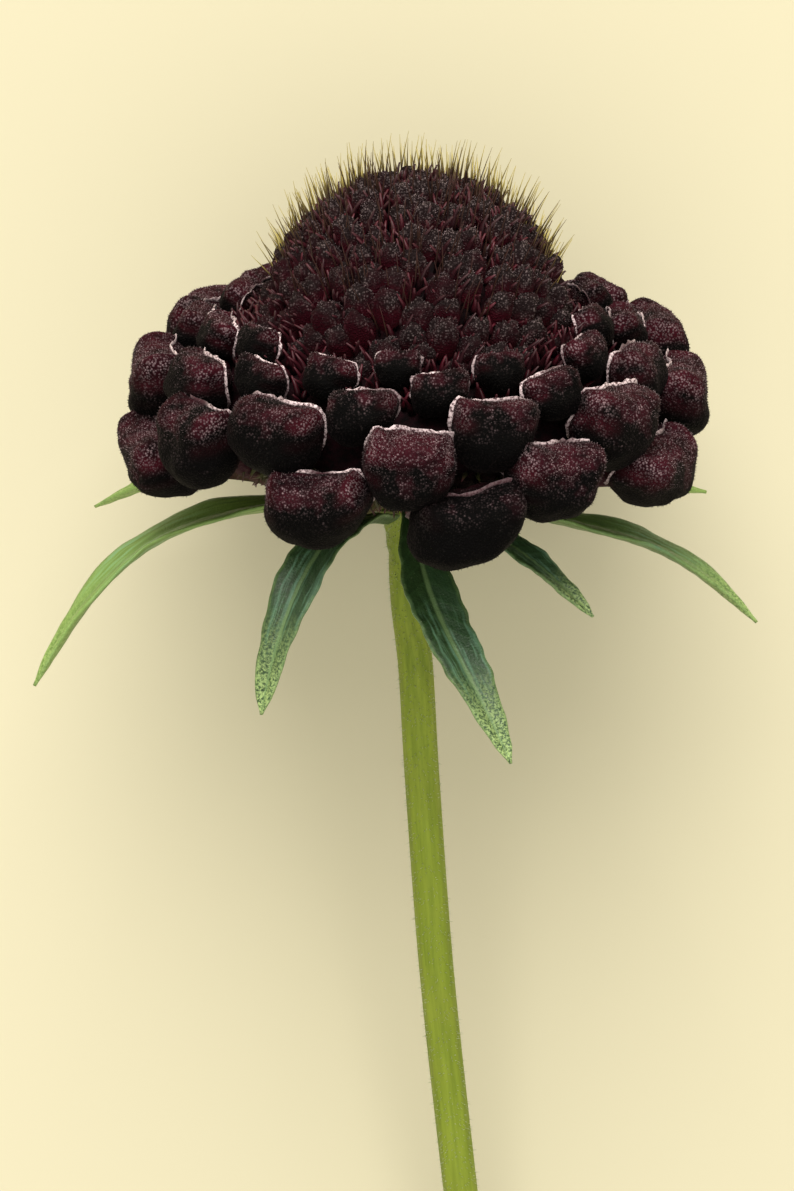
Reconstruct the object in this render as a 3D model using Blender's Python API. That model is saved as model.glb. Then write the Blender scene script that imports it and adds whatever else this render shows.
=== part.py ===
"""A pincushion flower in bud, cut, and laid down on a flat surface.

The flower is drawn upright first, in its own frame: the head's axis is Z, the middle of the head's rim is at
zero, and an azimuth of 0 is the side that faces the viewer. An empty then lays it down on three low points:
two buds of the rim and the cut end of the stalk.
"""

import math
import random

import bmesh
import bpy
import numpy as np
from mathutils import Matrix, Vector

MM = 0.001
GOLDEN_ANGLE = math.radians(137.508)
FIRST_BUD_AZIMUTH = math.radians(11)
SEED = 11
rng = random.Random(SEED)

# The open buds round the rim. A row says: index in the spiral, distance of the bud's middle from the axis,
# its height, its width, its tall side, and how far its face looks up, in millimetres and degrees.
BUD_STATIONS = (
    (0, 12.8, 0.2, 5.9, 3.9, -10),
    (5, 12.8, 0.9, 5.6, 3.9, -6),
    (10, 12.9, 2.6, 4.6, 4.3, 2),
    (20, 11.9, 4.2, 4.7, 4.0, 14),
    (26, 11.2, 5.1, 3.6, 2.8, 24),
    (34, 10.1, 6.0, 2.8, 2.3, 34),
    (47, 8.8, 6.8, 2.4, 2.1, 42),
)
BUD_COUNT = 48
BUD_DEPTH = 0.86  # of the bud's mean width
LOW_ROW = 13  # the buds whose tubes show on the underside
TUBE_WIDTH = 1.5 * MM
TUBE_NECK = 0.72  # where a tube meets its bud, behind the bud's middle, as a share of the bud's depth
BUD_ROOT = 1.1  # how far behind its middle a higher bud is rooted, as a share of its depth
BUD_ROOT_SHARE = 0.7  # of a tube's width
TUBE_FOOT = (4.6 * MM, -0.75 * MM)  # where a low bud's tube leaves the core: from the axis, and height
BUD_SIDES = 8
ROUND = 2  # how square a ring is: 2 is an oval, and 4 a rounded block
BLOCKY = 4
BUD_ROLL = 0.12
SIZE_CHANGE = 0.05  # of a bud's size, from one to the next
BUD_RINGS = ((-0.50, 0.52), (-0.14, 0.94), (0.24, 1.00), (0.44, 0.80))  # along the depth, share of the width
BUD_TIP = 0.52

# The closed buds of the dome, which are knobs. Their tips lie on a ball.
DOME_RADIUS = 7.65 * MM
DOME_HEIGHT = 6.4 * MM
DOME_SQUARENESS = 2.0
KNOB_COUNT = 114
KNOB_CROWDING = 1.2  # over 1, the knobs get closer toward the top
KNOB_WIDTH = (1.25 * MM, 2.15 * MM)  # at the top, and at the foot of the dome
KNOB_LEAN = 0.72  # share of the way from upright to square to the dome
KNOB_SIDES = 6
KNOB_RINGS = ((0.10, 1.00), (0.62, 0.62))
KNOB_ROOT = 1.3 * MM
KNOB_ROOT_SHARE = 0.6
KNOB_HALF = 0.8  # of its width, from a knob's middle to its tip
KNOB_UNEVEN = 0.15 * MM

# The stiff bristles, which stand between the knobs.
BRISTLE_STEP = 2  # one beside every second knob
KNOBS_AHEAD = 40  # a knob's nearest neighbour is looked for this far up the spiral
BRISTLE_REACH = (1.6 * MM, 2.3 * MM)
BRISTLE_ROOT = 2.0 * MM
BRISTLE_WIDTH = 0.40 * MM
BRISTLE_TIP = 0.10 * MM
BRISTLE_SIDES = 3
BRISTLE_LEAN = 0.62

# The core, which the buds grow from: distance from the axis and height, in millimetres, from below upward.
CORE_PROFILE = (
    (3.0, -1.6), (5.2, -0.9), (8.2, -0.2), (10.3, 0.7), (11.2, 1.9), (10.9, 3.3), (9.9, 4.9),
    (8.4, 5.9), (6.9, 6.8), (6.4, 8.6), (5.5, 10.4), (4.0, 11.9), (2.1, 12.7),
)
CORE_TOP = 12.95 * MM
CORE_SIDES = 20

# The bracts: azimuth of the foot and of the tip, distance and height of the tip, droop where it leaves and
# where it ends (degrees below level), and width in the middle.
BRACTS = (
    (-108, -111, 17.6, -5.5, -4, 34, 2.0),
    (-78, -74, 19.9, -10.9, -4, 62, 2.3),
    (-30, -35, 13.3, -10.4, -20, 80, 2.6),
    (0, 20, 13.8, -12.2, 34, 58, 2.7),
    (40, 48, 11.9, -6.3, 12, 36, 1.8),
    (78, 80, 17.5, -8.4, 12, 48, 2.0),
    (112, 110, 15.9, -4.4, 3, 18, 1.9),
    (148, 153, 11.4, -9.0, 18, 60, 2.2),
    (-156, -160, 11.6, -8.2, 14, 58, 2.2),
)
BRACT_FOOT = (3.75 * MM, -2.65 * MM)
BRACT_THICKNESS = 0.6 * MM
BRACT_STEPS = 12
BRACT_PULL = 0.46  # how strongly a bract follows the two droops, as a share of its length
# How wide a bract is along its length, as a share of its full width.
BRACT_OUTLINE = ((0.0, 0.50), (0.12, 0.78), (0.30, 1.00), (0.50, 0.97), (0.70, 0.82), (0.85, 0.60),
                 (0.95, 0.33), (1.0, 0.10))
BRACT_TIP_WIDTH = 0.5 * MM
BRACT_KEEL = 0.16  # depth of the fold along the midrib, as a share of the width

# The stalk: sideways place and height of its middle line, in millimetres, from the head down to the cut end.
STALK_ROUTE = ((0.0, -2.2), (-0.40, -5.2), (-0.36, -8.2), (0.04, -12.0), (0.38, -18.1), (1.1, -28.3),
               (2.1, -38.3), (3.3, -49.0), (4.7, -60.0))
STALK_RADIUS = 0.92 * MM
STALK_STEPS = 26
STALK_SIDES = 12
# The receptacle on top of it: height in millimetres and radius.
RECEPTACLE = ((-5.4, 1.02), (-4.2, 1.35), (-3.3, 2.15), (-2.75, 2.95), (-2.3, 3.10), (-1.9, 2.75))


def spot(distance, azimuth, height):
    """A point of the upright flower, from its distance to the axis, azimuth and height."""
    return Vector((distance * math.sin(azimuth), -distance * math.cos(azimuth), height))


def station_values(index):
    """The row of BUD_STATIONS at an index in the spiral, worked out between the rows."""
    table = np.array(BUD_STATIONS, dtype=float)
    return [float(np.interp(index, table[:, 0], table[:, column])) for column in range(1, 6)]


def frame_at(azimuth, rise):
    """Three unit directions of a bud: sideways, up along its face, and outward."""
    out = spot(math.cos(rise), azimuth, math.sin(rise))
    side = Vector((math.cos(azimuth), math.sin(azimuth), 0))
    return side, out.cross(side), out


def material(name, colour, roughness):
    """A Principled material with one colour."""
    made = bpy.data.materials.new(name)
    made.use_nodes = True
    shader = made.node_tree.nodes["Principled BSDF"]
    shader.inputs["Base Color"].default_value = (*colour, 1)
    shader.inputs["Roughness"].default_value = roughness
    shader.inputs["Metallic"].default_value = 0.0
    made.diffuse_color = (*colour, 1)
    return made


def mesh_object(name, points, faces, skin):
    """An object from points and faces, with its faces made to point out."""
    mesh = bpy.data.meshes.new(name)
    mesh.from_pydata([tuple(p) for p in points], [], faces)
    work = bmesh.new()
    work.from_mesh(mesh)
    bmesh.ops.recalc_face_normals(work, faces=work.faces)
    work.to_mesh(mesh)
    work.free()
    mesh.materials.append(skin)
    made = bpy.data.objects.new(name, mesh)
    bpy.context.scene.collection.objects.link(made)
    return made


def loft(rings, tip=None):
    """Points and faces of a closed solid through rings of equal length, with flat ends or a pointed tip."""
    sides = len(rings[0])
    points = [p for ring in rings for p in ring]
    faces = [tuple(reversed(range(sides)))]
    for row in range(len(rings) - 1):
        low, high = row * sides, (row + 1) * sides
        for k in range(sides):
            n = (k + 1) % sides
            faces.append((low + k, low + n, high + n, high + k))
    last = (len(rings) - 1) * sides
    if tip is None:
        faces.append(tuple(range(last, last + sides)))
    else:
        points.append(tip)
        faces += [(last + k, last + (k + 1) % sides, len(points) - 1) for k in range(sides)]
    return points, faces


def pillow_ring(middle, side, up, width, tall, sides, squareness, turn):
    """One ring of a bud, a rounded rectangle."""
    ring = []
    for k in range(sides):
        angle = 2 * math.pi * (k + turn) / sides
        c, s = math.cos(angle), math.sin(angle)
        reach = (abs(c) ** squareness + abs(s) ** squareness) ** (-1 / squareness)
        ring.append(middle + side * (c * reach * width / 2) + up * (s * reach * tall / 2))
    return ring


def rim_bud(index, skin):
    """An open bud of the rim: a blocky pillow on a tube that is sunk in the core."""
    distance, height, width, tall, rise = station_values(index)
    azimuth = FIRST_BUD_AZIMUTH + GOLDEN_ANGLE * index
    side, up, out = frame_at(azimuth, math.radians(rise))
    middle = spot(distance * MM, azimuth, height * MM)
    width *= MM * rng.uniform(1 - SIZE_CHANGE, 1 + SIZE_CHANGE)
    tall *= MM * rng.uniform(1 - SIZE_CHANGE, 1 + SIZE_CHANGE)
    depth = BUD_DEPTH * (width + tall) / 2
    roll = rng.uniform(-BUD_ROLL, BUD_ROLL)
    side, up = side * math.cos(roll) + up * math.sin(roll), up * math.cos(roll) - side * math.sin(roll)
    if index < LOW_ROW:
        tube = [(spot(TUBE_FOOT[0], azimuth, TUBE_FOOT[1]), TUBE_WIDTH),
                (middle - out * depth * TUBE_NECK, TUBE_WIDTH)]
    else:
        tube = [(middle - out * depth * BUD_ROOT, TUBE_WIDTH * BUD_ROOT_SHARE)]
    rings = [pillow_ring(place, side, up, wide, wide, BUD_SIDES, ROUND, 0.5) for place, wide in tube]
    for along, share in BUD_RINGS:
        rings.append(pillow_ring(middle + out * depth * along, side, up, width * share, tall * share,
                                 BUD_SIDES, BLOCKY, 0.5))
    tip = middle + out * depth * BUD_TIP
    return mesh_object(f"bud_{index}", *loft(rings, tip), skin)


def dome_point(slant):
    """Distance and height of the dome's surface, at a slant from its top."""
    c, s = math.cos(slant), math.sin(slant)
    reach = DOME_RADIUS * (abs(c) ** DOME_SQUARENESS + abs(s) ** DOME_SQUARENESS) ** (-1 / DOME_SQUARENESS)
    return reach * s, DOME_HEIGHT + reach * c


def knob_place(order):
    """Azimuth, slant from the dome's top, and width of a knob, by its order up the dome."""
    azimuth = FIRST_BUD_AZIMUTH + GOLDEN_ANGLE * (BUD_COUNT + order)
    left = (KNOB_COUNT - order - 0.5) / KNOB_COUNT
    slant = math.acos(1 - left ** KNOB_CROWDING)
    width = KNOB_WIDTH[0] + (KNOB_WIDTH[1] - KNOB_WIDTH[0]) * math.sin(slant)
    return azimuth, slant, width


def dome_knob(order, skin):
    """A closed bud of the dome."""
    azimuth, slant, width = knob_place(order)
    distance, height = dome_point(slant)
    side, up, out = frame_at(azimuth, math.pi / 2 - slant * KNOB_LEAN)
    width *= rng.uniform(1 - SIZE_CHANGE, 1 + SIZE_CHANGE)
    tip = spot(distance, azimuth, height) + out * rng.uniform(-KNOB_UNEVEN, KNOB_UNEVEN)
    middle = tip - out * width * KNOB_HALF
    rings = []
    for along, share in ((-KNOB_ROOT / width, KNOB_ROOT_SHARE),) + KNOB_RINGS:
        rings.append(pillow_ring(middle + out * width * along, side, up, width * share, width * share,
                                 KNOB_SIDES, ROUND, 0))
    return mesh_object(f"knob_{order}", *loft(rings, tip), skin)


def dome_bristle(order, skin):
    """A three-sided bristle between a knob and the one that comes next to it higher up."""
    azimuth, slant, _ = knob_place(order)
    here = spot(dome_point(slant)[0], azimuth, dome_point(slant)[1])
    others = []
    for other in range(order + 1, min(order + KNOBS_AHEAD, KNOB_COUNT)):
        a, s, _ = knob_place(other)
        there = spot(dome_point(s)[0], a, dome_point(s)[1])
        others.append(((there - here).length, other, there))
    if not others:
        return None
    foot = (here + min(others, key=lambda item: item[:2])[2]) / 2
    azimuth = math.atan2(foot.x, -foot.y)
    side, up, out = frame_at(azimuth, math.pi / 2 - slant * BRISTLE_LEAN)
    root = foot - out * BRISTLE_ROOT
    tip = foot + out * rng.uniform(*BRISTLE_REACH)
    root = pillow_ring(root, side, up, BRISTLE_WIDTH, BRISTLE_WIDTH, BRISTLE_SIDES, ROUND, 0)
    end = pillow_ring(tip, side, up, BRISTLE_TIP, BRISTLE_TIP, BRISTLE_SIDES, ROUND, 0)
    return mesh_object(f"bristle_{order}", *loft([root, end]), skin)


def turned(name, profile, top, sides, skin):
    """A solid turned round the axis, flat below and closed on top by a point."""
    rings = [[spot(r * MM, 2 * math.pi * k / sides, z * MM) for k in range(sides)] for r, z in profile]
    return mesh_object(name, *loft(rings, Vector((0, 0, top))), skin)


def keep_outer_body(target):
    """Drops the loose scraps and the walls of sealed hollows that a union leaves, then makes it triangles."""
    work = bmesh.new()
    work.from_mesh(target.data)
    left = set(work.faces)
    bodies = []
    while left:
        stack = [left.pop()]
        body = {stack[0]}
        while stack:
            for edge in stack.pop().edges:
                for face in edge.link_faces:
                    if face in left:
                        left.remove(face)
                        body.add(face)
                        stack.append(face)
        bodies.append(body)
    biggest = max(bodies, key=len)
    bmesh.ops.delete(work, geom=[f for f in work.faces if f not in biggest], context="FACES")
    bmesh.ops.triangulate(work, faces=work.faces)
    work.to_mesh(target.data)
    work.free()
    target.data.materials.clear()


def fuse(target, pieces):
    """Joins the pieces to the target in one Boolean union on a collection, and removes them."""
    group = bpy.data.collections.new("to_fuse")
    for piece in pieces:
        group.objects.link(piece)
    union = target.modifiers.new("union", "BOOLEAN")
    union.operation = "UNION"
    union.operand_type = "COLLECTION"
    union.collection = group
    union.solver = "MANIFOLD"
    bpy.context.view_layer.update()
    shape = target.evaluated_get(bpy.context.evaluated_depsgraph_get())
    fused = bpy.data.meshes.new_from_object(shape)
    target.modifiers.clear()
    target.data = fused
    for piece in pieces:
        bpy.data.objects.remove(piece)
    bpy.data.collections.remove(group)
    keep_outer_body(target)


def smooth_route(points, steps):
    """Evenly counted points on a smooth curve through the given ones."""
    points = [Vector(p) for p in points]
    ends = [points[0] * 2 - points[1]] + points + [points[-1] * 2 - points[-2]]
    route = []
    for step in range(steps + 1):
        place = step / steps * (len(points) - 1)
        k = min(int(place), len(points) - 2)
        t = place - k
        a, b, c, d = ends[k:k + 4]
        route.append((b * 2 + (c - a) * t + (a * 2 - b * 5 + c * 4 - d) * t * t
                      + (b * 3 - a - c * 3 + d) * t ** 3) / 2)
    return route


def stem(skin):
    """The stalk with the receptacle on top."""
    route = smooth_route([(x * MM, 0, z * MM) for x, z in STALK_ROUTE], STALK_STEPS)
    lowest = RECEPTACLE[0][0] * MM
    stations = [(p, STALK_RADIUS) for p in reversed(route) if p.z < lowest - 0.6 * MM]
    for height, radius in RECEPTACLE:
        lean = (height - RECEPTACLE[-1][0]) / (RECEPTACLE[0][0] - RECEPTACLE[-1][0])
        stations.append((Vector((STALK_ROUTE[1][0] * lean * MM, 0, height * MM)), radius * MM))
    rings = []
    for k, (middle, radius) in enumerate(stations):
        after = stations[min(k + 1, len(stations) - 1)][0]
        before = stations[max(k - 1, 0)][0]
        along = (after - before).normalized()
        side = Vector((0, 1, 0)).cross(along).normalized()
        wide = radius * 2
        rings.append(pillow_ring(middle, side, along.cross(side), wide, wide, STALK_SIDES, ROUND, 0.5))
    return mesh_object("stem", *loft(rings), skin)


def bract(number, row, skin):
    """A narrow pointed blade that arches out and down from under the head."""
    azimuth, tip_azimuth, tip_out, tip_height, leave, arrive, width = row
    foot = Vector((BRACT_FOOT[0], BRACT_FOOT[1]))
    tip = Vector((tip_out * MM, tip_height * MM))
    span = (tip - foot).length
    pull = span * BRACT_PULL
    first = foot + Vector((math.cos(math.radians(leave)), -math.sin(math.radians(leave)))) * pull
    second = tip - Vector((math.cos(math.radians(arrive)), -math.sin(math.radians(arrive)))) * pull
    points, faces = [], []
    for step in range(BRACT_STEPS + 1):
        t = step / BRACT_STEPS
        u = 1 - t
        flat = foot * u ** 3 + first * 3 * u * u * t + second * 3 * u * t * t + tip * t ** 3
        run = (first - foot) * 3 * u * u + (second - first) * 6 * u * t + (tip - second) * 3 * t * t
        run.normalize()
        turn = math.radians(azimuth + (tip_azimuth - azimuth) * t)
        middle = spot(flat.x, turn, flat.y)
        side = Vector((math.cos(turn), math.sin(turn), 0))
        above = spot(-run.y, turn, run.x)
        wide = max(width * MM * float(np.interp(t, *zip(*BRACT_OUTLINE))), BRACT_TIP_WIDTH)
        for across in (-0.5, 0, 0.5):
            fold = BRACT_KEEL * wide * (abs(across) * 2 - 0.5)
            for lift in (-0.5, 0.5):
                points.append(middle + side * wide * across + above * (fold + lift * BRACT_THICKNESS))
    for step in range(BRACT_STEPS):
        a, b = step * 6, step * 6 + 6
        for low, high in ((0, 2), (2, 4)):
            faces += [(a + low, a + high, b + high), (a + low, b + high, b + low)]
            faces += [(a + low + 1, b + high + 1, a + high + 1), (a + low + 1, b + low + 1, b + high + 1)]
        faces += [(a, b + 1, a + 1), (a, b, b + 1), (a + 4, a + 5, b + 5), (a + 4, b + 5, b + 4)]
    for start, flip in ((0, False), (BRACT_STEPS * 6, True)):
        for low in (0, 2):
            ends = [start + low, start + low + 1, start + low + 3, start + low + 2]
            faces.append(tuple(reversed(ends)) if flip else tuple(ends))
    return mesh_object(f"bract_{number}", points, faces, skin)


def flower_head(skin):
    """The core with every bud, knob and bristle fused to it."""
    core = turned("flower_head", CORE_PROFILE, CORE_TOP, CORE_SIDES, skin)
    pieces = [rim_bud(index, skin) for index in range(BUD_COUNT)]
    pieces += [dome_knob(order, skin) for order in range(KNOB_COUNT)]
    bristles = [dome_bristle(order, skin) for order in range(0, KNOB_COUNT, BRISTLE_STEP)]
    pieces += [b for b in bristles if b]
    fuse(core, pieces)
    core.data.materials.append(skin)
    return core


def lay_down(head, stalk, pieces):
    """Parents the pieces to an empty that rests the flower on two buds of the rim and the cut end."""
    head_points = [v.co.copy() for v in head.data.vertices]
    cut_points = [v.co.copy() for v in stalk.data.vertices]
    up = Vector((0, -1, 0.25)).normalized()
    for _ in range(8):
        right = Vector((0, 0, 1)).cross(up).normalized() * -1
        lowest = min(head_points, key=lambda p: p.dot(up))
        apart = 3 * MM
        others = [p for p in head_points if abs((p - lowest).dot(right)) > apart]
        second = min(others, key=lambda p: p.dot(up))
        third = min(cut_points, key=lambda p: p.dot(up))
        normal = (second - lowest).cross(third - lowest).normalized()
        up = normal if normal.dot(up) > 0 else -normal
    forward = (Vector((0, 0, 1)) - up * up.z).normalized()
    across = forward.cross(up)
    turn = Matrix((across, forward, up))
    every = [turn @ v.co for piece in pieces for v in piece.data.vertices]
    low = Vector([min(p[k] for p in every) for k in range(3)])
    high = Vector([max(p[k] for p in every) for k in range(3)])
    rest = bpy.data.objects.new("laid_down", None)
    rest.rotation_mode = "QUATERNION"
    rest.rotation_quaternion = turn.to_quaternion()
    rest.location = -Vector(((low.x + high.x) / 2, (low.y + high.y) / 2, low.z))
    bpy.context.scene.collection.objects.link(rest)
    for piece in pieces:
        piece.parent = rest


def main():
    for old in list(bpy.data.objects):
        bpy.data.objects.remove(old)
    dark = material("floret_dark", (0.045, 0.008, 0.018), 0.6)
    leaf = material("bract_green", (0.03, 0.12, 0.045), 0.45)
    stalk_green = material("stem_green", (0.16, 0.24, 0.03), 0.55)
    head = flower_head(dark)
    stalk = stem(stalk_green)
    bracts = [bract(number, row, leaf) for number, row in enumerate(BRACTS, 1)]
    lay_down(head, stalk, [head, stalk] + bracts)


main()
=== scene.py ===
# %% [markdown]
# # A pincushion flower in bud
# This lesson dresses a small cut flower that lies on a pale surface: a dark maroon head of blocky buds
# round a dome of closed knobs and stiff bristles, nine narrow green bracts, and a thin curved stalk. The
# plain solids already exist as a fixed frame, and every finer piece below stands for one of them.

# %% The frame and its box
import math
import random

import bpy
import numpy as np
from mathutils import Matrix, Vector


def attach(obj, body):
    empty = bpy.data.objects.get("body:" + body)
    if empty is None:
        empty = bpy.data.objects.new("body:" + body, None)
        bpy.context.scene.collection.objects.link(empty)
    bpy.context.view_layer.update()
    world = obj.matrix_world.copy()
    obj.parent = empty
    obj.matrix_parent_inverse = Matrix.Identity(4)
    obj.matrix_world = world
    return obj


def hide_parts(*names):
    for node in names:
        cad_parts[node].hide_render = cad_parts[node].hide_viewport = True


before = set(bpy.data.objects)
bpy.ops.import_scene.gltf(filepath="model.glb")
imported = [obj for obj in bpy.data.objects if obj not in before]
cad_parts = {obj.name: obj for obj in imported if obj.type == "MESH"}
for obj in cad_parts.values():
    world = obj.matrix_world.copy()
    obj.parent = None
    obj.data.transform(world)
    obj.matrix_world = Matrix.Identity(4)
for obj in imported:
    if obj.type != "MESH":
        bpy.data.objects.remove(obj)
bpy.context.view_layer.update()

print("solids:", ", ".join(sorted(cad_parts)))

# %% [markdown]
# A flower is easiest to draw upright, with its head's axis on Z, the middle of the head's rim at zero,
# and an azimuth of 0 on the side that faces the viewer. The real one is cut, so it lies down on two buds
# of the rim and on the cut end. One turn and one shift take every upright point to where it lies. They
# are the same for all pieces, so the drawing never has to think about the tilt again.

# %% From the upright flower to the one that lies down
MM = 0.001
REST_TILT = math.radians(12.62)
REST_PLACE = np.array((0.98, 21.43, 13.98)) * MM
LAID = np.array(((1, 0, 0),
                 (0, math.sin(REST_TILT), math.cos(REST_TILT)),
                 (0, -math.cos(REST_TILT), math.sin(REST_TILT))))


def laid(points):
    """Upright points, in metres, as they lie on the surface."""
    return np.asarray(points) @ LAID.T + REST_PLACE


def laid_direction(direction):
    """An upright direction as it lies."""
    return np.asarray(direction) @ LAID.T


HEAD_AXIS = laid_direction((0, 0, 1))
print("the head's axis points", HEAD_AXIS.round(3))

# %% [markdown]
# Buds on such a head follow a spiral: each comes 137.5 degrees after the one before, a little higher up.
# The frame's solids were placed by that rule with a seeded random draw for small changes in size and
# roll, so the same rule and the same draw put each fine bud exactly over its plain one. A list of
# stations says how the buds shrink from the rim to the dome, and the values between are worked out.

# %% The spiral of the head
GOLDEN_ANGLE = math.radians(137.508)
FIRST_BUD_AZIMUTH = math.radians(11)
BUD_COUNT = 48
KNOB_COUNT = 178
# bud number, distance and height in mm, the bud's width and height in mm, and its rise in degrees
BUD_STATIONS = np.array((
    (0, 12.8, 0.2, 5.9, 3.9, -10),
    (5, 12.8, 0.9, 5.6, 3.9, -6),
    (10, 12.9, 2.6, 4.6, 4.3, 2),
    (20, 11.9, 4.2, 4.7, 4.0, 14),
    (26, 11.2, 5.1, 3.6, 2.8, 24),
    (34, 10.1, 6.0, 2.8, 2.3, 34),
    (47, 8.8, 6.8, 2.4, 2.1, 42),
))
DOME_RADIUS = 7.65 * MM
DOME_HEIGHT = 6.4 * MM
KNOB_CROWDING = 1.2
KNOB_WIDTH = (1.05 * MM, 1.80 * MM)
KNOB_LEAN = 0.72
KNOB_UPRIGHT = 0.48
SIZE_CHANGE = 0.05
BUD_ROLL = 0.12
KNOB_CHANGE = 0.15
KNOB_UNEVEN = 0.26 * MM
KNOB_STRAY = 0.055


def spot(distance, azimuth, height):
    """An upright point from its distance to the axis, azimuth and height."""
    return np.array((distance * math.sin(azimuth), -distance * math.cos(azimuth), height))


def frame_at(azimuth, rise):
    """Three unit directions of a bud: sideways, up along its face, and outward."""
    out = spot(math.cos(rise), azimuth, math.sin(rise))
    side = np.array((math.cos(azimuth), math.sin(azimuth), 0.0))
    return side, np.cross(out, side), out


def draw_buds():
    """Where each bud and knob sits, how it is turned, and its size, in the order of the seeded draws."""
    draw = random.Random(11)
    buds, knobs = [], []
    for index in range(BUD_COUNT):
        distance, height, width, tall, rise = [
            float(np.interp(index, BUD_STATIONS[:, 0], BUD_STATIONS[:, column])) for column in range(1, 6)]
        azimuth = FIRST_BUD_AZIMUTH + GOLDEN_ANGLE * index
        side, up, out = frame_at(azimuth, math.radians(rise))
        width *= MM * draw.uniform(1 - SIZE_CHANGE, 1 + SIZE_CHANGE)
        tall *= MM * draw.uniform(1 - SIZE_CHANGE, 1 + SIZE_CHANGE)
        roll = draw.uniform(-BUD_ROLL, BUD_ROLL)
        side, up = side * math.cos(roll) + up * math.sin(roll), up * math.cos(roll) - side * math.sin(roll)
        buds.append((spot(distance * MM, azimuth, height * MM), side, up, out, width, tall, azimuth))
    for order in range(KNOB_COUNT):
        azimuth = FIRST_BUD_AZIMUTH + GOLDEN_ANGLE * (BUD_COUNT + order) + KNOB_STRAY * math.sin(order * 1.9)
        left = (KNOB_COUNT - order - 0.5) / KNOB_COUNT
        slant = math.acos(1 - left ** KNOB_CROWDING) + KNOB_STRAY * math.sin(order * 2.7)
        side, up, out = frame_at(azimuth, math.pi / 2 - slant * KNOB_LEAN)
        width = KNOB_WIDTH[0] + (KNOB_WIDTH[1] - KNOB_WIDTH[0]) * math.sin(slant)
        width *= draw.uniform(1 - KNOB_CHANGE, 1 + KNOB_CHANGE)
        tip = spot(DOME_RADIUS * math.sin(slant), azimuth, DOME_HEIGHT + DOME_RADIUS * math.cos(slant))
        tip = tip + out * draw.uniform(-KNOB_UNEVEN, KNOB_UNEVEN)
        side, up, out = frame_at(azimuth, math.pi / 2 - slant * KNOB_UPRIGHT)
        knobs.append((tip, side, up, out, width))
    return buds, knobs


BUDS, KNOBS = draw_buds()
print(len(BUDS), "buds and", len(KNOBS), "knobs")

# %% [markdown]
# Two small helpers do most of the work. One is a ball made of six square grids, with even faces and no
# pinched poles, so a bud can be shaped from it. The other makes smooth random lumps from a few crossing
# waves, which is quick and gives the same result each time. The rest put arrays into the scene as meshes.

# %% A ball of six grids, lumps, and a mesh from arrays
def ball_grid(cuts):
    """Unit directions and four-cornered faces of a ball with this many faces along each side of a cube."""
    steps = np.tan(np.linspace(-math.pi / 4, math.pi / 4, cuts + 1))
    points, faces = [], []
    for axis in range(3):
        for sign in (-1, 1):
            base = len(points)
            for a in steps:
                for b in steps:
                    point = [0.0, 0.0, 0.0]
                    point[axis], point[(axis + 1) % 3], point[(axis + 2) % 3] = sign, a, b
                    points.append(point)
            for i in range(cuts):
                for j in range(cuts):
                    k = base + i * (cuts + 1) + j
                    ring = (k, k + cuts + 1, k + cuts + 2, k + 1)
                    faces.append(ring if sign > 0 else ring[::-1])
    points = np.array(points)
    _, first, same = np.unique(points.round(6), axis=0, return_index=True, return_inverse=True)
    points = points[first]
    points /= np.linalg.norm(points, axis=1)[:, None]
    return points, same.reshape(-1)[np.array(faces)]


def lumps(points, wave, seed, count=6):
    """Smooth random values, about -1 to 1, from crossing waves of about this length."""
    draw = random.Random(seed)
    total = np.zeros(len(points))
    for _ in range(count):
        direction = np.array([draw.gauss(0, 1) for _ in range(3)])
        direction *= 2 * math.pi / (np.linalg.norm(direction) * wave * draw.uniform(0.7, 1.4))
        total += np.sin(points @ direction + draw.uniform(0, 2 * math.pi))
    return total * math.sqrt(2 / count) / 1.5


def smooth_step(low, high, value):
    """0 below low, 1 above high, and a smooth rise between."""
    t = np.clip((value - low) / (high - low), 0, 1)
    return t * t * (3 - 2 * t)


def shown(name, data):
    """A new object with this data, in the scene."""
    made = bpy.data.objects.new(name, data)
    bpy.context.scene.collection.objects.link(made)
    return made


def set_mark(mesh, name, values):
    """Keeps one number for each point of a mesh."""
    layer = mesh.attributes.new(name, "FLOAT", "POINT")
    layer.data.foreach_set("value", np.asarray(values, dtype=np.float32))


def make_piece(name, points, faces, skin, marks):
    """A smooth mesh piece from laid points and faces, with number marks kept on its points."""
    mesh = bpy.data.meshes.new(name)
    mesh.from_pydata(np.asarray(points).tolist(), [], [list(f) for f in faces])
    for mark, values in marks.items():
        set_mark(mesh, mark, values)
    mesh.materials.append(skin)
    mesh.shade_smooth()
    print(name, "has", sum(len(f) - 2 for f in faces), "triangles")
    return shown(name, mesh)


class Pile:
    """Collects points, faces and marks of many small shapes into one piece."""

    def __init__(self):
        self.points, self.faces, self.marks, self.count = [], [], {}, 0

    def add(self, points, faces, **marks):
        self.points.append(np.asarray(points))
        self.faces.extend([[int(k) + self.count for k in face] for face in faces])
        for mark, values in marks.items():
            self.marks.setdefault(mark, []).append(np.broadcast_to(values, len(points)))
        self.count += len(points)

    def piece(self, name, skin):
        marks = {mark: np.concatenate(values) for mark, values in self.marks.items()}
        return make_piece(name, laid(np.concatenate(self.points)), self.faces, skin, marks)


def tube_faces(rows, sides):
    """Faces of a tube of rings, closed by flat ends."""
    faces = []
    for low in range(0, (rows - 1) * sides, sides):
        for k in range(sides):
            n = (k + 1) % sides
            faces.append((low + k, low + n, low + sides + n, low + sides + k))
    faces.append(tuple(range(sides - 1, -1, -1)))
    faces.append(tuple(range((rows - 1) * sides, rows * sides)))
    return faces


FINE_BALL = ball_grid(20)
MIDDLE_BALL = ball_grid(15)
SMALL_BALL = ball_grid(5)
print("a bud has", len(FINE_BALL[1]) * 2, "triangles, and a knob", len(SMALL_BALL[1]) * 2)

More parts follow.
